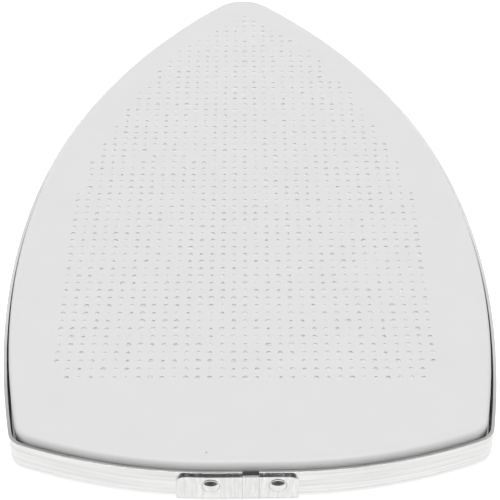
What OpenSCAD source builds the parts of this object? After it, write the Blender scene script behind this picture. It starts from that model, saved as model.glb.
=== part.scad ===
// Slip-on cover for the soleplate of a steam iron, lying on its open side with
// the working face up. A pressed PTFE sole stands in the hem of an aluminium
// strip frame, and a folded plate clinches the two ends of the strip together
// at the heel. Millimetres, +Y towards the tip, +Z up.

/* [Sole] */
// Width across the widest place
sole_w = 139.9; // [125:0.1:150]
// Length from the heel to the tip
sole_l = 232.3; // [225:0.1:245]
// Distance of the widest place from the heel
widest_at = 71.3; // [66:0.1:76]
// Radius of the sides where they start above the widest place
side_r = 261; // [245:1:280]
// Angle that this first arc of the sides covers
side_sweep = 12.3; // [9:0.1:15]
// Radius of the tip
tip_r = 12; // [9:0.5:15]
// Radius of the sides below the widest place
hip_r = 278; // [260:1:300]
// Radius of the two heel corners
corner_r = 7; // [6:0.5:9]
// Radius of the heel
heel_r = 139; // [132:0.5:140]
// Straight stretch in the middle of the heel
heel_flat = 16; // [10:1:24]
// Thickness of the PTFE
sole_t = 1; // [0.8:0.05:1.3]
// Outer radius of the rolled edge
roll_r = 2.2; // [2:0.1:3.2]
// Height of the rolled edge above the top of the frame
roll_rise = 2.4; // [2:0.1:3.5]

/* [Perforation] */
// Distance between rows, and between the holes of a row
hole_pitch = 3.3; // [3:0.1:4]
// Diameter of a hole
hole_d = 1.2; // [0.8:0.1:1.5]
// Every how many-th hole of every how many-th row is cut right through here
holes_every = 4; // [3:1:8]
// Distance of the first row from the heel
heel_margin = 32; // [26:0.5:38]
// Distance of the last row from the tip
tip_margin = 12; // [9:0.5:16]
// Distance of the curve that ends the rows from the side, at the widest place
side_margin = 13.2; // [10:0.1:18]
// Half width that the same curve has at the last row
last_row_x = 8.5; // [4:0.1:12]
// Most holes that a row has on each side of its middle hole
half_row = 16; // [10:1:16]
// Rows at the heel that are one hole shorter at each end
short_rows = 2; // [0:1:4]
// Turn of the pattern on the sole
pattern_turn = 0.65; // [0:0.05:1]
// Sideways place of the pattern's middle column at the first row
pattern_x = -1.5; // [-2:0.1:2]

/* [Frame strip] */
// Thickness of the aluminium strip
strip_t = 0.9; // [0.7:0.05:1.1]
// Height of the strip on edge
strip_h = 8.9; // [7:0.1:10]
// Clearance between strip and sole along the sides and at the tip
side_gap = 0.3; // [0.2:0.05:0.5]
// Clearance between strip and sole in the middle of the heel
heel_gap = 0.45; // [0.35:0.05:0.6]
// Radius of the strip below the widest place, inside
strip_hip_r = 296; // [290:1:305]
// Radius of the heel corners of the strip, inside
strip_corner_r = 5; // [4:0.5:6]
// Radius of the heel of the strip, inside
strip_heel_r = 140.5; // [139.5:0.5:148]
// Width inside the hem that the foot of the sole stands in
hem_w = 2.2; // [2.1:0.05:2.6]
// Height of the hem
hem_h = 3.6; // [2.5:0.1:5]
// Inside radius of the folds of the hem
hem_fold_r = 0.3; // [0.2:0.05:0.5]
// Gap between the two ends of the strip at the heel
end_gap = 4.4; // [3:0.1:6]
// Sideways place of the middle of that gap
end_gap_x = -0.5; // [-1:0.1:1]

/* [Heel joint plate] */
// Thickness of the plate
plate_t = 0.8; // [0.6:0.05:1]
// Width of the plate
plate_w = 32.6; // [28:0.1:38]
// Sideways place of the middle of the plate
plate_x = -4; // [-5:0.1:5]
// Step from the top of the strip down to the top of the plate
plate_drop = 0.9; // [0.4:0.1:2]
// Radius of the plate's top corners
plate_corner_r = 2.6; // [1:0.1:3.5]
// Depth of the plate's lower edge, folded in under the strip
plate_leaf = 4.6; // [3:0.1:6]
// Inside radius of that fold
plate_fold_r = 0.3; // [0.2:0.05:0.5]
// Clearance between plate and strip
plate_gap = 0.05; // [0.03:0.01:0.15]

/* [Clinched buttons] */
// Distance between the two buttons
button_pitch = 17.7; // [14:0.1:22]
// Sideways place of the middle between them
button_x = -2.2; // [-3:0.1:3]
// Height of their middle above the bottom of the plate
button_z = 5.6; // [3.6:0.1:6]
// Diameter of a button, pressed through the strip
button_d = 4.2; // [3.6:0.1:4.6]
// How far a button stands out inside the strip
button_proud = 0.15; // [0:0.05:0.2]
// Clearance of a button in the hole of the strip, all round
button_gap = 0.1; // [0.05:0.05:0.2]
// Diameter of the dent that the punch leaves outside
dent_d = 4.7; // [4:0.1:5.4]
// Diameter of the dent at its bottom
dent_end_d = 3.4; // [2:0.1:3.6]
// Depth of the dent
dent_h = 1.3; // [0.6:0.1:1.4]

/* [Hidden] */
$fn = 96;
SAG = 0.02; // by how much a straight step may miss its arc along an outline
ROLL_STEPS = 8; // steps round the rolled edge
FOLD_STEPS = 4; // steps round a fold of the strip or the plate
CUT = 1; // by how much a cutting body stands out

// Heights: the plate's fold lies lowest, the strip on it, and the sole in the strip
strip_z = plate_t + plate_gap;
foot_z = strip_z + strip_t;
strip_top = strip_z + strip_h;
plate_top = strip_top - plate_drop;
sole_top = strip_top + roll_rise;

// The whole length runs from the plate's outer face to the strip at the tip
total_l = sole_l + heel_gap + side_gap + 2 * strip_t + plate_gap + plate_t;
strip_y = plate_t + plate_gap - total_l / 2;
heel_y = strip_y + strip_t + heel_gap;
widest_y = heel_y + widest_at;

function towards(angle) = [cos(angle), sin(angle)];

// The sole's right side above the widest place: two arcs and the tip, each
// tangent to the next
side_c = [sole_w / 2 - side_r, widest_y];
tip_c = [0, heel_y + sole_l - tip_r];
side_dir = towards(side_sweep);
side_end = side_c + side_r * side_dir;
from_tip = side_end - tip_c;
upper_r = (from_tip * from_tip - tip_r ^ 2) / (2 * (from_tip * side_dir - tip_r));
upper_c = side_end - upper_r * side_dir;
tip_from = atan2(tip_c.y - upper_c.y, tip_c.x - upper_c.x);

// The crossing of two circles, the one further to the right
function crossing(a, ra, b, rb) =
    let (
        d = norm(b - a),
        dir = (b - a) / d,
        along = (ra ^ 2 - rb ^ 2 + d ^ 2) / (2 * d),
        aside = sqrt(ra ^ 2 - along ^ 2),
        right = dir.y > 0 ? [dir.y, -dir.x] : [-dir.y, dir.x]
    )
    a + along * dir + aside * right;

// The right half of an outline from heel to tip, each arc as [centre, radius,
// start angle, end angle]. It lies side_out outside the sole's sides and
// heel_out outside its heel.
function outline(hip, corner, heel, side_out = 0, heel_out = 0) =
    let (
        hip_c = [sole_w / 2 + side_out - hip, widest_y],
        heel_c = [heel_flat / 2, heel_y - heel_out + heel],
        corner_c = crossing(heel_c, heel - corner, hip_c, hip - corner),
        from_heel = corner_c - heel_c,
        from_hip = corner_c - hip_c,
        corner_from = atan2(from_heel.y, from_heel.x),
        corner_to = atan2(from_hip.y, from_hip.x)
    )
    [
        [heel_c, heel, -90, corner_from],
        [corner_c, corner, corner_from, corner_to],
        [hip_c, hip, corner_to, 0],
        [side_c, side_r + side_out, 0, side_sweep],
        [upper_c, upper_r + side_out, side_sweep, tip_from],
        [tip_c, tip_r + side_out, tip_from, 90],
    ];

sole_line = outline(hip_r, corner_r, heel_r);
strip_line = outline(strip_hip_r, strip_corner_r, strip_heel_r, side_gap, heel_gap);

// Points round an outline moved outwards by out, anticlockwise from the right
// end of the heel's straight stretch to its left end
function ring(line, out) =
    let (
        right = [
            for (arc = line)
                let (n = ceil((arc[3] - arc[2]) / (2 * acos(1 - SAG / arc[1]))))
                    for (k = [0:n - 1])
                        arc[0] + (arc[1] + out) * towards(arc[2] + (arc[3] - arc[2]) * k / n)
        ],
        tip = line[5][0] + [0, line[5][1] + out]
    )
    [each right, tip, for (k = [len(right) - 1:-1:0]) [-right[k].x, right[k].y]];

// Lofts a section round an outline. Each point of the section is [distance out
// from the outline, height]. A closed section makes an endless profile; an open
// one starts and ends in flat faces that fill the outline.
module loft(line, section, closed = false) {
    n = len(ring(line, 0));
    m = len(section);
    points = [for (s = section) each [for (p = ring(line, s[0])) [p.x, p.y, s[1]]]];
    side = [
        for (i = [0:closed ? m - 1 : m - 2])
            for (j = [0:n - 1])
                let (k = (j + 1) % n, up = (i + 1) % m)
                    [i * n + j, up * n + j, up * n + k, i * n + k]
    ];
    ends = closed ? [] : [[for (j = [0:n - 1]) j], [for (j = [n - 1:-1:0]) (m - 1) * n + j]];
    polyhedron(points, concat(side, ends));
}

// Points of a quarter turn of a section about c, from angle a, turning by turn
function bend(c, r, a, turn, steps) =
    [for (k = [0:steps]) c + r * towards(a + turn * k / steps)];

// SOLE
// From the flat's upper edge over the roll and down the skirt, round its foot and
// back up inside to the flat's lower edge
sole_section =
    let (roll_c = [-roll_r, sole_top - roll_r])
    concat(
        bend(roll_c, roll_r, 90, -90, ROLL_STEPS),
        [[0, foot_z], [-sole_t, foot_z]],
        bend(roll_c, roll_r - sole_t, 0, 90, ROLL_STEPS)
    );

// The curve that ends the rows starts at the widest place, parallel to the side,
// and passes last_row_x at the last row
last_row = floor((sole_l - heel_margin - tip_margin) / hole_pitch);
curve_at = widest_at - heel_margin;
curve_x = sole_w / 2 - side_margin;
curve_dx = curve_x - last_row_x;
curve_dy = last_row * hole_pitch - curve_at;
curve_r = (curve_dx ^ 2 + curve_dy ^ 2) / (2 * curve_dx);

// Holes on each side of a row's middle hole. The last rows come to a point.
function half_holes(row) =
    let (
        past = max(0, row * hole_pitch - curve_at),
        half_w = curve_x - curve_r + sqrt(curve_r ^ 2 - past ^ 2),
        most = row < short_rows ? half_row - 1 : half_row
    )
    min(most, floor(half_w / hole_pitch), last_row - row);

module perforation() {
    translate([pattern_x, heel_y + heel_margin, sole_top - sole_t - CUT]) rotate(-pattern_turn)
        for (row = [0:holes_every:last_row])
            let (half = floor(half_holes(row) / holes_every) * holes_every)
                for (i = [-half:holes_every:half])
                    translate(hole_pitch * [i, row]) cylinder(d = hole_d, h = sole_t + 2 * CUT);
}

module sole() {
    color("white") difference() {
        loft(sole_line, sole_section);
        perforation();
    }
}

// FRAME BAND
// Down the strip's outer face, under the hem, up its leaf and back inside
strip_section =
    let (
        outer_r = hem_fold_r + strip_t,
        fold_c = [-hem_fold_r, strip_z + outer_r],
        leaf_c = [hem_fold_r - hem_w, fold_c.y],
        hem_top = strip_z + hem_h
    )
    concat(
        [[strip_t, strip_top]],
        bend(fold_c, outer_r, 0, -90, FOLD_STEPS),
        bend(leaf_c, outer_r, -90, -90, FOLD_STEPS),
        [[-hem_w - strip_t, hem_top], [-hem_w, hem_top]],
        bend(leaf_c, hem_fold_r, 180, 90, FOLD_STEPS),
        bend(fold_c, hem_fold_r, -90, 90, FOLD_STEPS),
        [[0, strip_top]]
    );

// The two places where plate and strip are clinched: origin on the strip's
// outer face, z towards the inside
module at_buttons() {
    for (side = [-0.5, 0.5])
        translate([button_x + side * button_pitch, strip_y, button_z])
            rotate([-90, 0, 0]) children();
}

module frame_band() {
    color("silver") difference() {
        loft(strip_line, strip_section, closed = true);
        translate([end_gap_x - end_gap / 2, strip_y - CUT, 0])
            cube([end_gap, hem_w + 2 * strip_t + 2 * CUT, strip_top + CUT]);
        at_buttons() translate([0, 0, -CUT])
            cylinder(d = button_d + 2 * button_gap, h = strip_t + 2 * CUT);
    }
}

// HEEL JOINT PLATE
// Down the outside, round the fold and in under the strip, and back above it
plate_section =
    let (
        face_x = strip_t + plate_gap,
        fold_c = [face_x - plate_fold_r, plate_t + plate_fold_r],
        leaf_x = face_x + plate_t - plate_leaf
    )
    concat(
        [[face_x + plate_t, plate_top]],
        bend(fold_c, plate_fold_r + plate_t, 0, -90, FOLD_STEPS),
        [[leaf_x, 0], [leaf_x, plate_t]],
        bend(fold_c, plate_fold_r, -90, 90, FOLD_STEPS),
        [[face_x, plate_top]]
    );

// The section bent along the heel of the strip, further than the plate is wide
module bent_sheet() {
    arc = strip_line[0];
    for (side = [0, 1])
        mirror([side, 0]) {
            translate(arc[0]) rotate(arc[2]) rotate_extrude(angle = arc[3] - arc[2])
                translate([arc[1], 0]) polygon(plate_section);
            translate([0, arc[0].y - arc[1]]) rotate([90, 0, 90])
                linear_extrude(arc[0].x) mirror([1, 0]) polygon(plate_section);
        }
}

// The plate's front view with its round top corners, as deep as the plate
module plate_front() {
    half = plate_w / 2;
    r = plate_corner_r;
    translate([plate_x, strip_y + 2 * plate_leaf, 0]) rotate([90, 0, 0])
        linear_extrude(3 * plate_leaf) {
            translate([-half, -CUT]) square([plate_w, plate_top - r + CUT]);
            translate([r - half, 0]) square([plate_w - 2 * r, plate_top]);
            for (x = [r - half, half - r])
                translate([x, plate_top - r]) circle(r);
        }
}

module heel_joint_plate() {
    outer_z = -plate_gap - plate_t;
    dent_slope = (dent_d - dent_end_d) / dent_h;
    color("gainsboro") difference() {
        union() {
            intersection() {
                bent_sheet();
                plate_front();
            }
            at_buttons() translate([0, 0, outer_z / 2])
                cylinder(d = button_d, h = strip_t + button_proud - outer_z / 2);
        }
        at_buttons() translate([0, 0, outer_z - CUT])
            cylinder(d1 = dent_d + CUT * dent_slope, d2 = dent_end_d, h = dent_h + CUT);
    }
}

sole();
frame_band();
heel_joint_plate();
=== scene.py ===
"""Slip-on cover for a steam iron's soleplate, lying on its open side.

A pierced white PTFE sole stands in the hem of a bright aluminium strip, and a
folded plate clinches the strip's two ends together at the heel.
"""

import math

import bmesh
import bpy
import numpy as np
from mathutils import Matrix, Vector
from mathutils.geometry import tessellate_polygon


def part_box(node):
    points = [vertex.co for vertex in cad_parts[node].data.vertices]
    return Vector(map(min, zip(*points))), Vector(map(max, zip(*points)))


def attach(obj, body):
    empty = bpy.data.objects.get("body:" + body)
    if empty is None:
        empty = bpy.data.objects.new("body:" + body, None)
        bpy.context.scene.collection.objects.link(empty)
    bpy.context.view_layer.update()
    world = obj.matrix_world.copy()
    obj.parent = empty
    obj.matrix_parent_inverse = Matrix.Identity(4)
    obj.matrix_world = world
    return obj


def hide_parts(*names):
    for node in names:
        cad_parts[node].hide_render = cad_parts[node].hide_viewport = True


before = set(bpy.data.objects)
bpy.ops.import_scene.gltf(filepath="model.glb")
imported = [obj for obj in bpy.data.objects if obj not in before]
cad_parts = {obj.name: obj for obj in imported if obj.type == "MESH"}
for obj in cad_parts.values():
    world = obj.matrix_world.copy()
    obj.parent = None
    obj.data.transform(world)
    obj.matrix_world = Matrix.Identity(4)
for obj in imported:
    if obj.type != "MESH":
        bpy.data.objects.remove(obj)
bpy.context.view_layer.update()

bl_info = {
    "name": "Iron Shoe Cover",
    "version": (1, 0, 0),
    "blender": (4, 5, 0),
    "location": "View3D > Sidebar > Iron Shoe",
    "description": "Builds a pierced PTFE cover for the soleplate of a steam iron",
    "category": "Add Mesh",
}

MM = 0.001
BODY = "root"
SEED = 7  # of the pits' random differences
STEP = 1.5 * MM  # longest step along an outline
FOLD_STEPS = 8  # faces round a fold
PATCH = 5.8 * MM  # side of the square round a button
PATCH_STEPS = 12  # faces along that side
SPECKS = ((-0.0121, -0.1118, 0.0121), (-0.0027, -0.1155, 0.0108))  # dark marks on the sole
OUTSIDE = "outside"  # attribute of the sole's points that face away from its middle


# Properties


def size(name, mm, description):
    """A length in millimetres as a Blender property in metres."""
    return bpy.props.FloatProperty(
        name=name, description=description, default=mm * MM, min=0.0, precision=5, unit="LENGTH"
    )


def offset(name, mm, description):
    """A place in millimetres, which may lie on either side, as a property in metres."""
    return bpy.props.FloatProperty(
        name=name, description=description, default=mm * MM, precision=5, unit="LENGTH"
    )


def turn(name, degrees, description):
    """An angle in degrees as a Blender property in radians."""
    return bpy.props.FloatProperty(
        name=name, description=description, default=math.radians(degrees), subtype="ANGLE"
    )


def count(name, number, description):
    """A whole number as a Blender property."""
    return bpy.props.IntProperty(name=name, description=description, default=number, min=1)


def share(name, value, description):
    """A factor between 0 and 1 as a Blender property."""
    return bpy.props.FloatProperty(
        name=name, description=description, default=value, min=0.0, max=1.0, subtype="FACTOR"
    )


def linear(code):
    """An sRGB hex colour as linear red, green and blue."""
    parts = [int(code[i : i + 2], 16) / 255 for i in (1, 3, 5)]
    return tuple(c / 12.92 if c <= 0.04045 else ((c + 0.055) / 1.055) ** 2.4 for c in parts)


def paint(name, code, description):
    """An sRGB hex colour as a Blender property."""
    return bpy.props.FloatVectorProperty(
        name=name, description=description, default=linear(code), min=0.0, max=1.0, subtype="COLOR"
    )


class ShoeOutline(bpy.types.PropertyGroup):
    """Outline of the sole, and of the strip that follows it."""

    sole_w: size("Sole width", 139.4, "Width across the widest place")
    sole_l: size("Sole length", 232.35, "Length from the heel to the tip")
    widest_at: size("Widest place", 71.6, "Distance of the widest place from the heel")
    side_r: size("Side radius", 261, "Radius of the sides above the widest place")
    side_sweep: turn("Side sweep", 12.3, "Angle that this first arc of the sides covers")
    tip_r: size("Tip radius", 12, "Radius of the tip")
    hip_r: size("Hip radius", 274, "Radius of the sides below the widest place")
    corner_r: size("Corner radius", 7, "Radius of the sole's heel corners")
    heel_r: size("Heel radius", 139, "Radius of the sole's heel")
    heel_flat: size("Heel flat", 16, "Straight stretch in the middle of the heel")
    side_gap: size("Side gap", 0.55, "Clearance between strip and sole along the sides")
    heel_gap: size("Heel gap", 0.15, "Clearance between strip and sole at the heel")
    strip_hip_r: size("Strip hip radius", 296, "Radius of the strip below the widest place")
    strip_corner_r: size("Strip corner radius", 5, "Radius of the strip's heel corners")
    strip_heel_r: size("Strip heel radius", 140.5, "Radius of the strip's heel")


class SoleSizes(bpy.types.PropertyGroup):
    """The PTFE sheet and its pierced holes."""

    sheet_t: size("Sheet", 1, "Thickness of the PTFE")
    roll_r: size("Roll radius", 1.7, "Outer radius of the rolled edge at the heel")
    side_roll_r: size("Side roll radius", 1.1, "Outer radius of the rolled edge elsewhere")
    edge_r: size("Edge radius", 0.2, "Rounding of the skirt's cut foot")
    pitch: size("Pitch", 3.3, "Distance between rows, and between the holes of a row")
    heel_margin: size("Heel margin", 32.3, "Distance of the first row from the heel")
    tip_margin: size("Tip margin", 11.75, "Distance of the last row from the tip")
    side_margin: size("Side margin", 12.95, "Distance of the rows' ends from the side")
    last_row_x: size("Last row", 8.5, "Half width of the pattern's curve at the last row")
    half_row: count("Half row", 16, "Most holes on each side of a row's middle hole")
    short_rows: count("Short rows", 2, "Rows at the heel that are one hole shorter")
    pattern_turn: turn("Pattern turn", 0.65, "Turn of the pattern on the sole")
    pattern_x: offset("Pattern place", -1.5, "Sideways place of the pattern's middle column")
    speck_r: size("Speck radius", 0.1, "Radius of the two small dark marks near the heel")
    rim_w: size("Rim", 0.07, "Width of the flat ring round a pit's mouth")
    mouth_r: size("Mouth radius", 0.68, "Radius of a pit's mouth")
    floor_r: size("Floor radius", 0.6, "Radius of a pit's slanting floor")
    pit_h: size("Pit depth", 0.34, "Depth of the floor at its edge towards the tip")
    tip_depth: share("Tip depth", 0.45, "Depth of the last row's pits against the first row's")
    needle_r: size("Needle radius", 0.09, "Radius of the hole through a pit's floor")
    needle_y: size("Needle place", 0.34, "How far that hole lies from a pit's middle")
    pit_y: offset("Pit place", -0.36, "Shift of the pits from the even grid, towards the tip")
    pit_spread: share("Spread", 0.7, "How much the pits differ from each other")
    pit_sides: count("Sides", 8, "Corners of a pit's rings, a multiple of four")


class StripSizes(bpy.types.PropertyGroup):
    """The hemmed aluminium strip round the sole."""

    sheet_t: size("Sheet", 0.9, "Thickness of the aluminium strip")
    strip_h: size("Height", 8.9, "Height of the strip on edge")
    edge_r: size("Edge radius", 0.03, "Rounding of the strip's edges")
    hem_w: size("Hem width", 2.2, "Width inside the hem")
    hem_h: size("Hem height", 3.6, "Height of the hem")
    fold_r: size("Fold radius", 0.3, "Inside radius of the hem's folds")
    end_gap: size("End gap", 4.4, "Gap between the two ends of the strip at the heel")
    end_gap_x: offset("End gap place", -0.5, "Sideways place of the middle of that gap")


class PlateSizes(bpy.types.PropertyGroup):
    """The folded plate at the heel and its two clinched buttons."""

    sheet_t: size("Sheet", 0.8, "Thickness of the plate")
    plate_w: size("Width", 32.6, "Width of the plate")
    plate_x: offset("Place", -4, "Sideways place of the middle of the plate")
    drop: size("Drop", 0.9, "Step from the top of the strip down to the plate's top")
    corner_r: size("Corner radius", 2.6, "Radius of the plate's top corners")
    leaf: size("Leaf", 4.6, "Depth of the lower edge, folded in under the strip")
    fold_r: size("Fold radius", 0.3, "Inside radius of that fold")
    gap: size("Gap", 0.05, "Clearance between plate and strip")
    edge_r: size("Edge radius", 0.1, "Rounding of the plate's edges")
    button_pitch: size("Button pitch", 17.7, "Distance between the two buttons")
    button_x: offset("Button place", -2.2, "Sideways place of the middle between them")
    button_z: size("Button height", 5.6, "Height of their middle")
    button_d: size("Button", 4.2, "Diameter of a button where it passes the strip")
    button_proud: size("Button proud", 0.08, "How far a button stands out inside")
    button_gap: size("Button gap", 0.1, "Clearance of a button in the strip's hole")
    dent_d: size("Dent", 4.7, "Diameter of the punch's dent outside")
    dent_step: size("Dent step", 0.12, "Height of the step round the button")
    dent_w: size("Hollow width", 3.9, "Width of the hollow in the button's upper half")
    dent_rise: size("Hollow height", 1.95, "Height of that hollow")
    dent_up: size("Hollow place", 0.9, "How far its middle lies above the button's middle")
    dent_h: size("Hollow depth", 1.5, "Depth of the hollow at its upper rim")


class ShoeColours(bpy.types.PropertyGroup):
    """Colours of the shoe and the stage."""

    ptfe: paint("PTFE", "#E6E6E6", "Milky white of the pressed PTFE")
    specks: paint("Specks", "#383530", "Small dark marks near the heel")
    # Painted shade for the gap between the strip and the sole, not a colour of the PTFE
    gap_shade: paint("Painted gap shade", "#3F3F40", "Painted shade in the gap between strip and sole")
    aluminium: paint("Aluminium", "#EDEDEC", "Bright rolled aluminium")
    floor: paint("Floor", "#CFCFCF", "Pale paper that the shoe lies on")


PROPERTY_GROUPS = {
    "shoe_outline": ShoeOutline,
    "shoe_sole": SoleSizes,
    "shoe_strip": StripSizes,
    "shoe_plate": PlateSizes,
    "shoe_colours": ShoeColours,
}


def groups(*names):
    """The scene's property groups, by the names that follow shoe_."""
    return [getattr(bpy.context.scene, "shoe_" + name) for name in names]


# Surfaces


def grid(points, wrap=(False, False), gaps=()):
    """A surface from a grid of points, rows x columns x 3: each four neighbours
    make a face. wrap joins the last row or column to the first, and gaps are
    blocks of faces to leave out, as (first row, last row, first column, last
    column). Returns (points, faces)."""
    rows, cols = points.shape[:2]
    r, c = np.meshgrid(
        np.arange(rows - (not wrap[0])), np.arange(cols - (not wrap[1])), indexing="ij"
    )
    r2, c2 = (r + 1) % rows, (c + 1) % cols
    faces = np.stack([r * cols + c, r * cols + c2, r2 * cols + c2, r2 * cols + c], -1)
    kept = np.ones(r.shape, bool)
    for top, bottom, left, right in gaps:
        kept[top:bottom, left:right] = False
    return points.reshape(-1, 3), faces[kept]


def weld(surfaces, grain=1e-7):
    """Joins surfaces into one: points that agree to the grain become one point,
    and faces keep only their different corners. Returns (points, list of faces)."""
    points = np.concatenate([p for p, _ in surfaces])
    starts = np.cumsum([0] + [len(p) for p, _ in surfaces[:-1]])
    faces = np.concatenate([f + s for (_, f), s in zip(surfaces, starts)])
    _, first, same = np.unique(
        np.round(points / grain).astype(np.int64), axis=0, return_index=True, return_inverse=True
    )
    faces = same.reshape(-1)[faces]
    kept = faces != np.roll(faces, -1, axis=1)
    whole = kept.all(axis=1)
    three = kept.sum(axis=1) == 3
    triangles = faces[three][kept[three]].reshape(-1, 3)
    return points[first], faces[whole].tolist() + triangles.tolist()


def make_piece(name, surfaces, node, material, sharp=35.0, bevel=0.0):
    """Puts welded surfaces into a closed mesh that stands for a CAD node. Edges
    sharper than the given angle stay sharp, or get a rounding of the bevel's
    width."""
    points, faces = weld(surfaces)
    mesh = bpy.data.meshes.new(name)
    mesh.from_pydata(points, [], faces)
    shell = bmesh.new()
    shell.from_mesh(mesh)
    bmesh.ops.recalc_face_normals(shell, faces=shell.faces)
    shell.to_mesh(mesh)
    shell.free()
    mesh.polygons.foreach_set("use_smooth", np.ones(len(mesh.polygons), bool))
    mesh.set_sharp_from_angle(angle=math.radians(sharp))
    mesh.materials.append(material)
    mesh.update()
    piece = bpy.data.objects.new(name, mesh)
    bpy.context.scene.collection.objects.link(piece)
    if bevel:
        rounding = piece.modifiers.new("Rounded edges", "BEVEL")
        rounding.width = bevel
        rounding.segments = 3
        rounding.limit_method = "ANGLE"
        rounding.angle_limit = math.radians(sharp)
        rounding.harden_normals = True
    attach(piece, BODY)
    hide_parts(node)
    return piece


def arc(centre, radius, start, end, steps):
    """Points on a circle from the start angle to the end angle, in radians."""
    a = np.linspace(start, end, steps + 1)
    return np.stack([centre[0] + radius * np.cos(a), centre[1] + radius * np.sin(a)], -1)


def crossing(a, ra, b, rb):
    """Crossing of two circles, the one further to the right: from the first
    centre along the line to the second, then square to that line."""
    line = b - a
    far = np.hypot(*line)
    line = line / far
    along = (ra**2 - rb**2 + far**2) / (2 * far)
    aside = math.sqrt(ra**2 - along**2)
    right = np.array([line[1], -line[0]]) * (1 if line[1] > 0 else -1)
    return a + along * line + aside * right


def heel_place():
    """Y of the sole's heel: the whole length is centred on the origin, and the
    plate and the strip lie outside the sole's heel."""
    o, strip, plate = groups("outline", "strip", "plate")
    outside = o.heel_gap + strip.sheet_t + plate.gap + plate.sheet_t
    whole = o.sole_l + outside + o.side_gap + strip.sheet_t
    return outside - whole / 2


def outline(hip, corner, heel, side_out=0.0, heel_out=0.0):
    """Right half of an outline from heel to tip as six tangent arcs, each (centre,
    radius, start angle, end angle): heel, corner, hip, lower side, upper side and
    tip. Tangent arcs have their centres on one line through the point they share."""
    o = bpy.context.scene.shoe_outline
    y = heel_place()
    widest_y = y + o.widest_at
    side_c = np.array([o.sole_w / 2 - o.side_r, widest_y])
    tip_c = np.array([0.0, y + o.sole_l - o.tip_r])
    side_dir = np.array([math.cos(o.side_sweep), math.sin(o.side_sweep)])
    side_end = side_c + o.side_r * side_dir
    from_tip = side_end - tip_c
    upper_r = (from_tip @ from_tip - o.tip_r**2) / (2 * (from_tip @ side_dir - o.tip_r))
    upper_c = side_end - upper_r * side_dir
    tip_from = math.atan2(*(tip_c - upper_c)[::-1])
    hip_c = np.array([o.sole_w / 2 + side_out - hip, widest_y])
    heel_c = np.array([o.heel_flat / 2, y - heel_out + heel])
    corner_c = crossing(heel_c, heel - corner, hip_c, hip - corner)
    corner_from = math.atan2(*(corner_c - heel_c)[::-1])
    corner_to = math.atan2(*(corner_c - hip_c)[::-1])
    return [
        (heel_c, heel, -math.pi / 2, corner_from),
        (corner_c, corner, corner_from, corner_to),
        (hip_c, hip, corner_to, 0.0),
        (side_c, o.side_r + side_out, 0.0, o.side_sweep),
        (upper_c, upper_r + side_out, o.side_sweep, tip_from),
        (tip_c, o.tip_r + side_out, tip_from, math.pi / 2),
    ]


def path(arcs, start_x, end_x, per_turn=96):
    """Points along an outline and its outward directions, from start_x on the
    straight heel round the tip to end_x: evenly spaced on each arc, at most a STEP
    apart, with at least per_turn of them to a full turn."""
    points, out = [], []
    for centre, radius, start, end in arcs:
        n = math.ceil((end - start) * max(radius / STEP, per_turn / (2 * math.pi)))
        a = np.linspace(start, end, n + 1)[:-1]
        out.append(np.stack([np.cos(a), np.sin(a)], -1))
        points.append(centre + radius * out[-1])
    tip = arcs[-1]
    right, right_out = np.concatenate(points), np.concatenate(out)
    mirror = np.array([-1.0, 1.0])
    heel_y = right[0, 1]
    flat = np.array([[end_x, heel_y]])
    first = np.array([[start_x, heel_y]])
    down = np.array([[0.0, -1.0]])
    points = [first, right, tip[0] + [[0, tip[1]]], right[::-1] * mirror, flat]
    out = [down, right_out, [[0, 1]], right_out[::-1] * mirror, down]
    return np.concatenate(points), np.concatenate(out)


def carry(points, out, section):
    """A section carried along a path. A point of the section, (distance out,
    height), lands at the path's point plus that distance along its outward
    direction. Rows follow the section, columns the path."""
    flat = points[None] + section[:, None, :1] * out[None]
    height = np.broadcast_to(section[:, None, 1:], flat.shape[:2] + (1,))
    return np.concatenate([flat, height], -1)


def heights():
    """Heights of the strip's foot, the sole's foot, the strip's top, the plate's
    top and the sole's top, the last as the CAD has it."""
    strip, plate = groups("strip", "plate")
    strip_z = plate.sheet_t + plate.gap
    strip_top = strip_z + strip.strip_h
    sole_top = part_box("sole")[1].z
    return strip_z, strip_z + strip.sheet_t, strip_top, strip_top - plate.drop, sole_top


# Sole


def half_rows(s, o):
    """Holes on each side of the middle hole, row by row. The curve that ends the
    rows is an arc that starts at the widest place and passes last_row_x at the
    last row; the last rows come to a point."""
    last = int((o.sole_l - s.heel_margin - s.tip_margin) / s.pitch)
    row = np.arange(last + 1)
    curve_at = o.widest_at - s.heel_margin
    curve_x = o.sole_w / 2 - s.side_margin
    dx, dy = curve_x - s.last_row_x, last * s.pitch - curve_at
    curve_r = (dx**2 + dy**2) / (2 * dx)
    past = np.maximum(0, row * s.pitch - curve_at)
    half_w = curve_x - curve_r + np.sqrt(curve_r**2 - past**2)
    most = np.where(row < s.short_rows, s.half_row - 1, s.half_row)
    return np.minimum(np.minimum(most, (half_w / s.pitch).astype(int)), last - row)


def square_ring(sides):
    """Points round a square of side 1 about the origin, from its right upper
    corner anticlockwise, with equal steps along each edge."""
    per = sides // 4
    t = np.arange(per) / per
    one = np.full(per, 0.5)
    edge = np.stack([0.5 - t, one], -1)
    turned = [edge]
    for _ in range(3):
        edge = np.stack([-edge[:, 1], edge[:, 0]], -1)
        turned.append(edge)
    return np.concatenate(turned)


def circle_ring(sides):
    """Points on a circle of radius 1, in step with square_ring."""
    a = math.pi / 4 + np.arange(sides) * 2 * math.pi / sides
    return np.stack([np.cos(a), np.sin(a)], -1)


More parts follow.
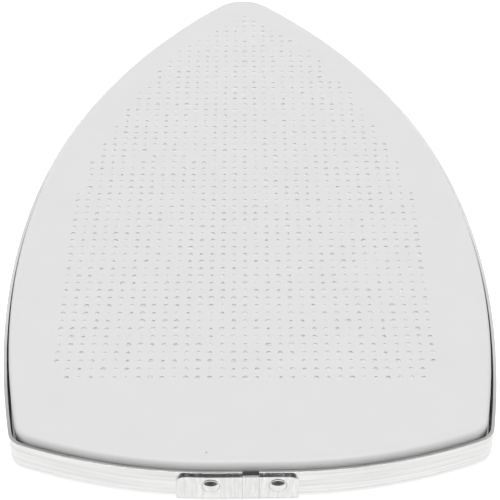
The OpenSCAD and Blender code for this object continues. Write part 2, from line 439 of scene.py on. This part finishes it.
def stair(halves, per):
    """Outline of the pattern's cells as a closed loop in pitches, with per steps
    to a cell's side: along the first row, up the right ends, over the last row and
    down the left ends."""
    corners = [(halves[0] + 0.5, -0.5)]
    for row, half in enumerate(halves):
        corners += [(half + 0.5, row - 0.5), (half + 0.5, row + 0.5)]
    right = np.array(corners)
    corners = np.concatenate([right, right[::-1] * [-1, 1]])
    following = np.roll(corners, -1, axis=0)
    loop = []
    for a, b in zip(corners, following):
        n = round(np.abs(b - a).max() * per)
        loop.append(a + (b - a) * (np.arange(n) / max(n, 1))[:, None])
    return np.concatenate(loop)


def fill(loop, hole, height):
    """Flat surface at a height between an outer loop and a hole's loop."""
    loops = [[Vector((x, y, 0)) for x, y in ring] for ring in (loop, hole)]
    faces = np.array(tessellate_polygon(loops))
    faces = np.concatenate([faces, faces[:, -1:]], -1)
    points = np.concatenate([loop, hole])
    return np.column_stack([points, np.full(len(points), height)]), faces


def pierced_cells(s, centres, cells, top):
    """The pierced cells of the sole. A cell is a square of one pitch round a hole.
    A pit's floor slants down to a steep wall on the tip's side, and a needle's hole
    goes from it through to the lower face. Size, depth and slant differ from pit
    to pit, and the pits get shallower towards the tip. Axes: ring, pit, corner."""
    rng = np.random.default_rng(SEED)
    n = len(centres)
    furthest = 1.8  # a draw's largest distance from its mean, in standard deviations
    deepest = 1.6  # the deepest pit against the usual one
    draw = lambda: np.clip(rng.normal(size=(n, 1)), -furthest, furthest)
    size_by, depth_by = 1 + 0.25 * s.pit_spread * draw(), np.exp(s.pit_spread * draw())
    back = np.concatenate([0.5 * s.pit_spread * draw(), np.ones((n, 1))], -1)
    along = (centres[:, 1:] - centres[0, 1]) / (centres[-1, 1] - centres[0, 1])
    deep = s.pit_h * np.minimum(depth_by, deepest) * (1 + (s.tip_depth - 1) * along)
    circle = circle_ring(s.pit_sides)[None]
    fall = (back[:, None] * circle).sum(-1)
    rings = [np.concatenate([cells, np.full((n, s.pit_sides, 1), top)], -1)]
    # A ring's radius, its depth and its slant as shares of the pit's depth, and how
    # far its middle lies on the way to the needle's hole.
    steps = (
        (s.mouth_r + s.rim_w, 0.0, 0.0, 0.0),
        (s.mouth_r, 0.0, 0.0, 0.0),
        (s.floor_r, 0.5, 0.5, 0.1),
        (s.needle_r, 0.85, 0.0, 1.0),
    )
    for radius, depth, slant, lean in steps:
        middle = centres + lean * s.needle_y * back + [0, s.pit_y]
        flat = middle[:, None] + radius * size_by[:, None] * circle
        z = top - deep * np.maximum(0, depth + slant * fall)
        rings.append(np.concatenate([flat, z[..., None]], -1))
    under = np.full((n, s.pit_sides, 1), top - s.sheet_t)
    rings.append(np.concatenate([rings[-1][..., :2], under], -1))
    rings.append(np.concatenate([cells, under], -1))
    return np.stack(rings)


def cell_faces(rings):
    """Faces between neighbouring rings of many cells at once."""
    levels, n, sides = rings.shape[:3]
    level, cell, side = np.meshgrid(
        np.arange(levels - 1), np.arange(n), np.arange(sides), indexing="ij"
    )
    here = (level * n + cell) * sides
    above = here + n * sides
    after = (side + 1) % sides
    faces = np.stack([here + side, here + after, above + after, above + side], -1)
    return rings.reshape(-1, 3), faces.reshape(-1, 4)


def edge_section(s, roll_r, foot_z, top):
    """Section of the sole's edge as (distance out, height): from the flat sheet over
    a roll and down the skirt, round its foot and back inside to the flat sheet."""
    flat_x, e = -s.roll_r - 0.6 * MM, s.edge_r
    roll_c = (-roll_r, top - roll_r)
    return np.concatenate(
        [
            [[flat_x, top]],
            arc(roll_c, roll_r, math.pi / 2, 0, 18),
            arc((-e, foot_z + e), e, 0, -math.pi / 2, 4),
            arc((e - s.sheet_t, foot_z + e), e, -math.pi / 2, -math.pi, 4),
            arc(roll_c, roll_r - s.sheet_t, 0, math.pi / 2, 12),
            [[flat_x, top - s.sheet_t]],
        ]
    )


def sole_surfaces():
    """The sole: pierced cells inside a stair-shaped loop, flat sheet from there to
    the roll, and the roll with its skirt and foot carried round the outline. The
    edge is a mean of two sections, weighted by how far the outline faces the heel."""
    s, o = groups("sole", "outline")
    _, foot_z, _, _, top = heights()
    y = heel_place() + s.heel_margin
    cos, sin = math.cos(s.pattern_turn), math.sin(s.pattern_turn)
    turned = np.array([[cos, -sin], [sin, cos]])
    place = lambda lattice: lattice * s.pitch @ turned + [s.pattern_x, y]

    halves = half_rows(s, o)
    lattice = [
        np.stack([np.arange(-half, half + 1), np.full(2 * half + 1, row)], -1)
        for row, half in enumerate(halves)
    ]
    lattice = np.concatenate(lattice).astype(float)
    cells = place(lattice[:, None] + square_ring(s.pit_sides)[None])
    pits = cell_faces(pierced_cells(s, place(lattice), cells, top))

    half_flat = o.heel_flat / 2
    points, out = path(outline(o.hip_r, o.corner_r, o.heel_r), half_flat, -half_flat)
    points, out = points[1:-1], out[1:-1]
    at_heel = np.clip(-out[:, 1], 0, 1)[None, :, None] ** 2
    shell = at_heel * carry(points, out, edge_section(s, s.roll_r, foot_z, top))
    shell += (1 - at_heel) * carry(points, out, edge_section(s, s.side_roll_r, foot_z, top))
    loop = shell[0, :, :2]
    hole = place(stair(halves, s.pit_sides // 4))
    return [
        pits,
        fill(loop, hole, top),
        fill(loop, hole, top - s.sheet_t),
        grid(shell, wrap=(False, True)),
    ]


def mark_outside(piece):
    """Writes the attribute OUTSIDE: 1 at the points whose surface faces away from
    the origin's upright axis, and 0 at the others."""
    mesh = piece.data
    places, normals = np.empty(3 * len(mesh.vertices)), np.empty(3 * len(mesh.vertices))
    mesh.vertices.foreach_get("co", places)
    mesh.vertices.foreach_get("normal", normals)
    away = (places * normals).reshape(-1, 3).sum(-1)
    attribute = mesh.attributes.new(OUTSIDE, "FLOAT", "POINT")
    attribute.data.foreach_set("value", (away > 25 * MM).astype(float))


# Aluminium


def strip_outline():
    """Outline of the strip's inner face, clear of the sole by the two gaps."""
    o = bpy.context.scene.shoe_outline
    return outline(o.strip_hip_r, o.strip_corner_r, o.strip_heel_r, o.side_gap, o.heel_gap)


def strip_section():
    """Section of the strip as (distance out, height): down the outer face, under
    the hem, up its leaf and back inside, as one closed line. Its first and its
    last PATCH_STEPS + 2 points lie on the strip's two faces, where the buttons
    pass it."""
    t, p = groups("strip", "plate")
    strip_z, _, strip_top, _, _ = heights()
    r, big = t.fold_r, t.fold_r + t.sheet_t
    fold_c, leaf_c = (-r, strip_z + big), (r - t.hem_w, strip_z + big)
    hem_top = strip_z + t.hem_h
    q = math.pi / 2
    beside_buttons = p.button_z + PATCH * (0.5 - np.arange(PATCH_STEPS + 1) / PATCH_STEPS)
    wall = np.concatenate([[strip_top], beside_buttons])
    return np.concatenate(
        [
            np.stack([np.full(len(wall), t.sheet_t), wall], -1),
            arc(fold_c, big, 0, -q, FOLD_STEPS),
            arc(leaf_c, big, -q, -2 * q, FOLD_STEPS),
            [[-t.hem_w - t.sheet_t, hem_top], [-t.hem_w, hem_top]],
            arc(leaf_c, r, 2 * q, 3 * q, FOLD_STEPS),
            arc(fold_c, r, -q, 0, FOLD_STEPS),
            np.stack([np.zeros(len(wall)), wall[::-1]], -1),
        ]
    )


def button_places():
    """Places of the two buttons along the heel, the left one first."""
    p = bpy.context.scene.shoe_plate
    return [p.button_x + side * p.button_pitch / 2 for side in (-1, 1)]


def strip_surfaces():
    """The strip: its section carried from one end at the heel round the tip to the
    other end, with both ends closed. At each button the path's own points make
    way for the columns of a square, which holds the round hole."""
    t, p = groups("strip", "plate")
    right, left = t.end_gap_x + t.end_gap / 2, t.end_gap_x - t.end_gap / 2
    points, out = path(strip_outline(), right, left)
    near = [np.abs(points[:, 0] - x) < 0.55 * PATCH for x in button_places()]
    kept = (points[:, 1] > 0) | ~(near[0] | near[1])
    section = strip_section()
    walk = carry(points[kept], out[kept], section)
    steps = PATCH * (np.arange(PATCH_STEPS + 1) / PATCH_STEPS - 0.5)
    at_left, at_right = (
        on_heel(x + steps, section[:, :1], section[:, 1:]) for x in button_places()
    )
    shell = np.concatenate([walk[:, :1], at_right, walk[:, 1:-1], at_left, walk[:, -1:]], 1)
    rows = (1, len(section) - 2 - PATCH_STEPS)
    columns = (1, shell.shape[1] - 2 - PATCH_STEPS)
    holes = [(r, r + PATCH_STEPS, c, c + PATCH_STEPS) for r in rows for c in columns]
    surfaces = [grid(shell, wrap=(True, False), gaps=holes)]
    surfaces += [cap(shell[:, end]) for end in (0, -1)]
    radius = p.button_d / 2 + p.button_gap
    for x in button_places():
        bore = circles([(radius, 0.0), (radius, t.sheet_t)])
        surfaces.append(round_patch(x, p.button_z, t.sheet_t, bore))
        surfaces.append(round_patch(x, p.button_z, 0.0, bore[:1]))
    return surfaces


def cap(edge):
    """Closes the end of a folded sheet: each point of the first half of its section
    and its opposite one, counted from the other end, make a rung of a ladder."""
    half = len(edge) // 2
    return grid(np.stack([edge[:half], edge[::-1][:half]]))


def on_heel(x, out, z):
    """Points at x, a distance out from the strip's inner face along the heel, and
    at height z: straight in the middle, and beyond it on an arc about the heel's
    centre."""
    (cx, cy), radius = strip_outline()[0][:2]
    past = np.maximum(np.abs(x) - cx, 0)
    y = cy - np.sqrt((radius + out) ** 2 - past**2)
    return np.stack(np.broadcast_arrays(x, y, z), -1)


def plate_rows():
    """Rows of the plate's section from its top edge down the face, round the fold
    and in along the leaf, as (distance out, height), for the outer side and the
    inner side, and the rows between which the buttons lie."""
    p, t = groups("plate", "strip")
    face = t.sheet_t + p.gap
    fold_c = (face - p.fold_r, p.sheet_t + p.fold_r)
    leaf_x = face + p.sheet_t - p.leaf
    straight = heights()[3] - p.corner_r
    high, low = p.button_z + PATCH / 2, p.button_z - PATCH / 2
    swing = np.linspace(math.pi / 2, math.asin((high - straight) / p.corner_r), 6)[:-1]
    corner = straight + p.corner_r * np.sin(swing)
    z = np.concatenate([corner, np.linspace(high, low, PATCH_STEPS + 1)])
    outer = (face + p.sheet_t, p.fold_r + p.sheet_t, 0.0)
    inner = (face, p.fold_r, p.sheet_t)
    sides = []
    for out, r, foot in (outer, inner):
        down = np.stack([np.full(len(z), out), z], -1)
        leaf = np.stack([np.linspace(fold_c[0], leaf_x, 6)[1:], np.full(5, foot)], -1)
        sides.append(np.concatenate([down, arc(fold_c, r, 0, -math.pi / 2, FOLD_STEPS), leaf]))
    return sides, len(swing), len(swing) + PATCH_STEPS


def plate_columns(z):
    """Columns of the plate at heights z, rows x columns, and the columns between
    which the buttons lie. The plate's sides curve in at its top corners; the
    columns beside the buttons keep clear of them."""
    p = bpy.context.scene.shoe_plate
    clear = 0.7 * MM
    straight = heights()[3] - p.corner_r
    half = p.plate_w / 2 - p.corner_r
    half = half + np.sqrt(p.corner_r**2 - np.clip(z - straight, 0, p.corner_r) ** 2)
    left, right = p.plate_x - half, p.plate_x + half
    knots = [x + end * PATCH / 2 for x in button_places() for end in (-1, 1)]
    knots = [left, *(np.clip(k, left + clear, right - clear) for k in knots), right]
    steps = (5, PATCH_STEPS, 10, PATCH_STEPS, 3)
    columns = [
        a + (b - a) * (np.arange(n) / n)[:, None] for a, b, n in zip(knots, knots[1:], steps)
    ]
    beside = np.cumsum(steps)[:4].reshape(2, 2)
    return np.concatenate(columns + [right[None]]).T, beside


def round_patch(x, z, out, rings):
    """A square of sheet with a round form in it, at a distance out along the heel.
    Each ring is (half width, half height, point, shift upwards, depth from the
    face): a circle stretched to its half width and height, with its ends drawn to
    a point by raising the sine of the angle to the power of point."""
    square = square_ring(4 * PATCH_STEPS) * PATCH
    cos, sin = circle_ring(4 * PATCH_STEPS).T
    flat = [square]
    for wide, high, point, up, _ in rings:
        flat.append(np.stack([wide * cos, up + high * np.sign(sin) * np.abs(sin) ** point], -1))
    depth = np.array([0.0] + [ring[-1] for ring in rings])[:, None]
    flat = np.stack(flat)
    points = on_heel(x + flat[..., 0], out - depth, z + flat[..., 1])
    return grid(points, wrap=(False, True))


def circles(rings):
    """Rings of (radius, depth) as round rings for round_patch."""
    return [(radius, radius, 1.0, 0.0, depth) for radius, depth in rings]


def bowl_rings(p):
    """The punch's mark: a low step down and up round the button, and a pointed
    hollow in its upper half, whose floor falls steadily to the upper rim."""
    r, step, lead = p.dent_d / 2, p.dent_step, 0.35 * MM
    inward = np.linspace(0, 1, 9)
    hollow = zip(
        p.dent_w / 2 * (1 - inward) ** 0.45,
        p.dent_rise / 2 * (1 - inward),
        np.full(9, 1.5),
        p.dent_up + 0.46 * p.dent_rise * inward,
        p.dent_h * inward,
    )
    return circles([(r + lead, 0.0), (r, step), (r - step, 0.0)]) + list(hollow)


def button_rings(p, face):
    """The button on the inner side: a short cylinder through the strip with a round
    edge and a slightly domed end."""
    radius, far = p.button_d / 2, face + p.button_proud
    edge, dome, fillet, root = 0.25 * MM, 0.05 * MM, 0.15 * MM, 0.1 * MM
    flat = radius - edge
    rings = [(radius + fillet, 0.0), (radius, root)]
    a = np.linspace(0, math.pi / 2, 5)
    rings += [(flat + edge * math.cos(k), far - edge + edge * math.sin(k)) for k in a]
    rings += [(flat * k, far + dome * (1 - k)) for k in (0.6, 0.3, 0.0)]
    return circles(rings)


def plate_surfaces():
    """The joint plate: its rows and columns bent along the heel, with a square left
    out at each button on both sides, the dents and buttons in those squares, and
    both ends closed."""
    p = bpy.context.scene.shoe_plate
    (outer, inner), first, last = plate_rows()
    columns, beside = plate_columns(outer[:, 1])
    front = on_heel(columns, outer[:, :1], outer[:, 1:])
    back = on_heel(plate_columns(inner[:, 1])[0], inner[:, :1], inner[:, 1:])
    shell = np.concatenate([front, back[::-1]])
    end = len(shell) - 1
    squares = [
        (*rows, *pair) for rows in ((first, last), (end - last, end - first)) for pair in beside
    ]
    surfaces = [grid(shell, wrap=(True, False), gaps=squares)]
    surfaces += [cap(shell[:, side]) for side in (0, -1)]
    face = inner[0, 0]
    for x in button_places():
        surfaces.append(round_patch(x, p.button_z, outer[0, 0], bowl_rings(p)))
        surfaces.append(round_patch(x, p.button_z, face, button_rings(p, face)))
    return surfaces


# Materials


def nodes_of(material):
    """Node tree of a material with its Principled BSDF."""
    material.use_nodes = True
    tree = material.node_tree
    return tree, tree.nodes["Principled BSDF"]


def put(tree, node, inputs):
    """Fills a node's inputs, given by name or number as values or as sockets."""
    for key, value in inputs.items():
        if isinstance(value, bpy.types.NodeSocket):
            tree.links.new(value, node.inputs[key])
        else:
            node.inputs[key].default_value = value


def add(tree, kind, inputs=None, **settings):
    """Adds a node, fills its inputs and sets its attributes."""
    node = tree.nodes.new(kind)
    for key, value in settings.items():
        setattr(node, key, value)
    put(tree, node, inputs or {})
    return node


def ramp(value, start, end, low=0.0, high=1.0):
    """Inputs that map a value's range from start to end to one from low to high."""
    return {"Value": value, "From Min": start, "From Max": end, "To Min": low, "To Max": high}


def opaque(colour, factor=1.0):
    """A colour times a factor, at most 1, as red, green, blue and alpha."""
    return (*(min(1.0, c * factor) for c in colour), 1)


def painted_groove_shade(tree, colour, distance, at, half):
    """Darkens a colour socket where a distance socket is within half of a value,
    as painted shade in a fine groove, and returns the new colour socket."""
    off = add(tree, "ShaderNodeMath", {0: distance, 1: at}, operation="SUBTRACT").outputs[0]
    off = add(tree, "ShaderNodeMath", {0: off}, operation="ABSOLUTE").outputs[0]
    unmarked = add(tree, "ShaderNodeMapRange", ramp(off, half, 2.5 * half, 0.72)).outputs["Result"]
    dark = add(tree, "ShaderNodeVectorMath", {0: colour, "Scale": unmarked}, operation="SCALE")
    return dark.outputs[0]


def rolled_aluminium(name, colour, along, roughness, lines_at=(), rings_at=()):
    """Bright rolled aluminium: the mill's rollers leave fine lines along the strip
    that stretch its reflections and vary its gloss. The real lines are some 0.02 mm
    apart; the drawn ones are about 0.6 mm apart, so that they show. Painted shade
    darkens fine grooves: upright lines given by x, and rings given by (x, z, radius)."""
    material = bpy.data.materials.new(name)
    tree, skin = nodes_of(material)
    where = add(tree, "ShaderNodeTexCoord").outputs["Object"]
    ruled = add(tree, "ShaderNodeMapping", {"Vector": where, "Scale": along}).outputs[0]
    lines = {"Vector": ruled, "Scale": 1.0, "Detail": 3.0, "Roughness": 0.6}
    streaks = add(tree, "ShaderNodeTexNoise", lines).outputs["Fac"]
    gloss = add(tree, "ShaderNodeMapRange", ramp(streaks, 0.3, 0.7, *roughness))
    contrast = add(tree, "ShaderNodeMapRange", ramp(streaks, 0.35, 0.65)).outputs["Result"]
    shades = {0: contrast, 6: opaque(colour, 0.9), 7: opaque(colour, 1.07)}
    tint = add(tree, "ShaderNodeMix", shades, data_type="RGBA").outputs[2]
    sideways = add(tree, "ShaderNodeSeparateXYZ", {"Vector": where}).outputs["X"]
    # Painted shade: darker lines and rings where the grooves would hold shade.
    for x in lines_at:
        tint = painted_groove_shade(tree, tint, sideways, x, 0.05 * MM)
    flat = add(tree, "ShaderNodeMapping", {"Vector": where, "Scale": (1, 0, 1)}).outputs[0]
    for x, z, radius in rings_at:
        away = add(tree, "ShaderNodeVectorMath", {0: flat, 1: (x, 0, z)}, operation="DISTANCE")
        tint = painted_groove_shade(tree, tint, away.outputs["Value"], radius, 0.07 * MM)
    lift = {"Height": streaks, "Strength": 0.25, "Distance": 0.02 * MM}
    relief = add(tree, "ShaderNodeBump", lift).outputs["Normal"]
    gloss = gloss.outputs["Result"]
    put(tree, skin, {"Metallic": 1.0, "Roughness": gloss, "Base Color": tint, "Normal": relief})
    return material


def pressed_ptfe(name, colours, speck_r, shade_z):
    """Skived PTFE sheet, pressed to shape: milky white with a waxy, low gloss and
    a faint cloudiness from the skiving blade. Two small dark marks lie near the heel.
    Outside, below the strip's top that the last argument gives, the colour darkens
    towards a dark grey: painted shade in the gap between the strip and the sole."""
    material = bpy.data.materials.new(name)
    tree, skin = nodes_of(material)
    where = add(tree, "ShaderNodeTexCoord").outputs["Object"]
    cloud = {"Vector": where, "Scale": 1 / (14 * MM), "Detail": 4.0}
    clouds = add(tree, "ShaderNodeTexNoise", cloud).outputs["Fac"]
    shades = {0: clouds, 6: opaque(colours.ptfe, 0.975), 7: opaque(colours.ptfe, 1.02)}
    tint = add(tree, "ShaderNodeMix", shades, data_type="RGBA").outputs[2]
    # Two small dark marks near the heel: one on the flat, and one low on the edge at the corner of
    # the strip's end gap.
    for place in SPECKS:
        away = add(tree, "ShaderNodeVectorMath", {0: where, 1: place}, operation="DISTANCE")
        away = away.outputs["Value"]
        unmarked = add(tree, "ShaderNodeMapRange", ramp(away, speck_r, 2.5 * speck_r))
        shades = {0: unmarked.outputs["Result"], 6: opaque(colours.specks), 7: tint}
        tint = add(tree, "ShaderNodeMix", shades, data_type="RGBA").outputs[2]
    # Painted shade: outside, below the strip's top, the PTFE darkens towards a dark grey, for the
    # shade in the gap between the strip and the sole.
    high = add(tree, "ShaderNodeSeparateXYZ", {"Vector": where}).outputs["Z"]
    under_rim = ramp(high, shade_z + 0.2 * MM, shade_z - 0.8 * MM, 0.0, 0.55)
    gap_shade = add(tree, "ShaderNodeMapRange", under_rim).outputs["Result"]
    outside = add(tree, "ShaderNodeAttribute", attribute_name=OUTSIDE).outputs["Fac"]
    grey = add(tree, "ShaderNodeMath", {0: outside, 1: gap_shade}, operation="MULTIPLY").outputs[0]
    shades = {0: grey, 6: tint, 7: opaque(colours.gap_shade)}
    tint = add(tree, "ShaderNodeMix", shades, data_type="RGBA").outputs[2]
    fine = {"Vector": where, "Scale": 1 / (0.6 * MM), "Detail": 2.0}
    grain = add(tree, "ShaderNodeTexNoise", fine).outputs["Fac"]
    lift = {"Height": grain, "Strength": 0.12, "Distance": 0.05 * MM}
    relief = add(tree, "ShaderNodeBump", lift).outputs["Normal"]
    put(tree, skin, {"IOR": 1.35, "Roughness": 0.42, "Base Color": tint, "Normal": relief})
    return material


# Operators


class SHOE_OT_sole(bpy.types.Operator):
    """Builds the pierced PTFE sole"""

    bl_idname = "shoe.sole"
    bl_label = "PTFE Sole"

    def execute(self, context):
        s, colours = context.scene.shoe_sole, context.scene.shoe_colours
        strip_top = heights()[2]
        material = pressed_ptfe("pressed_ptfe", colours, s.speck_r, strip_top)
        mark_outside(make_piece("ptfe_sole", sole_surfaces(), "sole", material))
        return {"FINISHED"}


class SHOE_OT_strip(bpy.types.Operator):
    """Builds the hemmed aluminium strip"""

    bl_idname = "shoe.strip"
    bl_label = "Frame Strip"

    def execute(self, context):
        colour = context.scene.shoe_colours.aluminium
        material = rolled_aluminium("rolled_aluminium_strip", colour, (40, 40, 1600), (0.13, 0.22))
        make_piece(
            "aluminium_strip",
            strip_surfaces(),
            "frame_band",
            material,
            bevel=context.scene.shoe_strip.edge_r,
        )
        return {"FINISHED"}


class SHOE_OT_plate(bpy.types.Operator):
    """Builds the folded joint plate with its two buttons"""

    bl_idname = "shoe.plate"
    bl_label = "Joint Plate"

    def execute(self, context):
        p, t = context.scene.shoe_plate, context.scene.shoe_strip
        material = rolled_aluminium(
            "rolled_aluminium_plate",
            context.scene.shoe_colours.aluminium,
            (1600, 40, 200),
            (0.16, 0.26),
            # Painted shade: dark lines over the strip's two ends and dark rings round the dents.
            lines_at=[t.end_gap_x + side * t.end_gap / 2 for side in (-1, 1)],
            rings_at=[(x, p.button_z, p.dent_d / 2) for x in button_places()],
        )
        make_piece(
            "joint_plate",
            plate_surfaces(),
            "heel_joint_plate",
            material,
            bevel=context.scene.shoe_plate.edge_r,
        )
        return {"FINISHED"}


class SHOE_OT_stage(bpy.types.Operator):
    """Sets up the floor, the lights, the world and the camera"""

    bl_idname = "shoe.stage"
    bl_label = "Stage"

    def execute(self, context):
        build_floor(context)
        build_lights(context)
        build_world(context)
        build_camera(context)
        context.scene.view_settings.view_transform = "Standard"
        return {"FINISHED"}


def build_floor(context):
    """A wide sheet of pale paper at the height that the shoe rests on. It glows a
    little for the camera and in reflections, so it reads white and keeps the
    shadow."""
    half = 4.0
    mesh = bpy.data.meshes.new("floor")
    corners = [(-half, -half, 0), (half, -half, 0), (half, half, 0), (-half, half, 0)]
    mesh.from_pydata(corners, [], [(0, 1, 2, 3)])
    floor = bpy.data.objects.new("floor", mesh)
    context.scene.collection.objects.link(floor)
    material = bpy.data.materials.new("pale_paper")
    tree, skin = nodes_of(material)
    ray = add(tree, "ShaderNodeLightPath").outputs
    seen = {0: ray["Is Camera Ray"], 1: 0.72}
    seen = add(tree, "ShaderNodeMath", seen, operation="MULTIPLY").outputs[0]
    glow = {0: ray["Is Glossy Ray"], 1: 0.38, 2: seen}
    glow = add(tree, "ShaderNodeMath", glow, operation="MULTIPLY_ADD").outputs[0]
    paper = {
        "Base Color": opaque(context.scene.shoe_colours.floor),
        "Roughness": 0.9,
        "Specular IOR Level": 0.0,
        "Emission Color": (1, 1, 1, 1),
        "Emission Strength": glow,
    }
    put(tree, skin, paper)
    mesh.materials.append(material)


def build_lights(context):
    """One large round soft box, high above and a little in front of the heel."""
    light = bpy.data.lights.new("soft_box_top", "AREA")
    light.shape = "DISK"
    light.size = 1.8
    light.energy = 76.0
    lamp = bpy.data.objects.new("soft_box_top", light)
    context.scene.collection.objects.link(lamp)
    place = Vector((0.0, -0.45, 2.97))
    aimed = (-place).to_track_quat("-Z", "Y").to_matrix().to_4x4()
    lamp.matrix_world = Matrix.Translation(place) @ aimed


def build_world(context):
    """White behind the shoe for the camera. For everything else a bright room, but
    dark where the camera stands and dimmer overhead, which gives the rolled edge
    its shading and the metal its dark lines. Straight behind the shoe the paper
    sweeps up brightly, and only reflections see that."""
    world = bpy.data.worlds.new("studio")
    context.scene.world = world
    world.use_nodes = True
    tree = world.node_tree
    tree.nodes.clear()
    towards = add(tree, "ShaderNodeTexCoord").outputs["Generated"]
    axes = add(tree, "ShaderNodeSeparateXYZ", {"Vector": towards}).outputs
    levels = {}
    # Direction from start to end, level from low to high, or to an earlier level.
    for name, axis, start, end, low, high in (
        ("overhead", "Z", 0.66, 0.76, 0.9, 0.3),
        ("low front", "Z", 0.3, 0.6, 0.18, 0.03),
        ("front", "Y", -0.5, -0.05, "low front", 1.0),
        ("low back", "Z", 0.14, 0.5, 4.5, 1.0),
        ("back", "Y", 0.7, 0.9, 1.0, "low back"),
    ):
        low, high = levels.get(low, low), levels.get(high, high)
        fade = ramp(axes[axis], start, end, low, high)
        fade = add(tree, "ShaderNodeMapRange", fade, interpolation_type="SMOOTHSTEP")
        levels[name] = fade.outputs["Result"]
    ray = add(tree, "ShaderNodeLightPath").outputs
    room = {0: levels["overhead"], 1: levels["front"]}
    room = add(tree, "ShaderNodeMath", room, operation="MULTIPLY").outputs[0]
    reflected = {"Value": ray["Is Glossy Ray"], "To Min": 0.45, "To Max": levels["back"]}
    reflected = add(tree, "ShaderNodeMapRange", reflected).outputs["Result"]
    strength = {0: room, 1: reflected}
    strength = add(tree, "ShaderNodeMath", strength, operation="MULTIPLY").outputs[0]
    white = {"Color": (1, 1, 1, 1), "Strength": 1.0}
    lit = add(tree, "ShaderNodeBackground", {**white, "Strength": strength}).outputs[0]
    seen = add(tree, "ShaderNodeBackground", white).outputs[0]
    either = {0: ray["Is Camera Ray"], 1: lit, 2: seen}
    either = add(tree, "ShaderNodeMixShader", either).outputs[0]
    add(tree, "ShaderNodeOutputWorld", {0: either})


def build_camera(context):
    """The camera stands in front of the heel and looks down at 40 degrees."""
    data = bpy.data.cameras.new("camera")
    data.lens = 112.46
    data.sensor_width = 36.0
    camera = bpy.data.objects.new("camera", data)
    context.scene.collection.objects.link(camera)
    look = Vector((0.0128, 0.765, -0.644)).normalized()
    right = Vector((1, -0.0156, 0.0019))
    right = (right - right.dot(look) * look).normalized()
    up = right.cross(look)
    turn_to = Matrix((right, up, -look)).transposed()
    place = Vector((-5.45, -392.3, 317.8)) * MM
    camera.matrix_world = Matrix.Translation(place) @ turn_to.to_4x4()
    context.scene.camera = camera


class SHOE_PT_panel(bpy.types.Panel):
    """Sizes, colours and steps of the iron shoe cover"""

    bl_idname = "SHOE_PT_panel"
    bl_label = "Iron Shoe Cover"
    bl_space_type = "VIEW_3D"
    bl_region_type = "UI"
    bl_category = "Iron Shoe"

    def draw(self, context):
        for name, group in PROPERTY_GROUPS.items():
            box = self.layout.box()
            box.label(text=group.__doc__)
            for key in group.__annotations__:
                box.prop(getattr(context.scene, name), key)
        for operator in OPERATORS:
            self.layout.operator(operator.bl_idname)


OPERATORS = (SHOE_OT_sole, SHOE_OT_strip, SHOE_OT_plate, SHOE_OT_stage)
CLASSES = (*PROPERTY_GROUPS.values(), *OPERATORS, SHOE_PT_panel)


def register():
    """Registers the classes and hangs the property groups on the scene."""
    for cls in CLASSES:
        bpy.utils.register_class(cls)
    for name, group in PROPERTY_GROUPS.items():
        setattr(bpy.types.Scene, name, bpy.props.PointerProperty(type=group))


def unregister():
    """Takes the property groups off the scene and the classes out."""
    for name in PROPERTY_GROUPS:
        delattr(bpy.types.Scene, name)
    for cls in reversed(CLASSES):
        bpy.utils.unregister_class(cls)


def main():
    """Builds the whole shoe and its stage."""
    register()
    for step in (bpy.ops.shoe.sole, bpy.ops.shoe.strip, bpy.ops.shoe.plate, bpy.ops.shoe.stage):
        step()


if __name__ == "__main__":
    main()
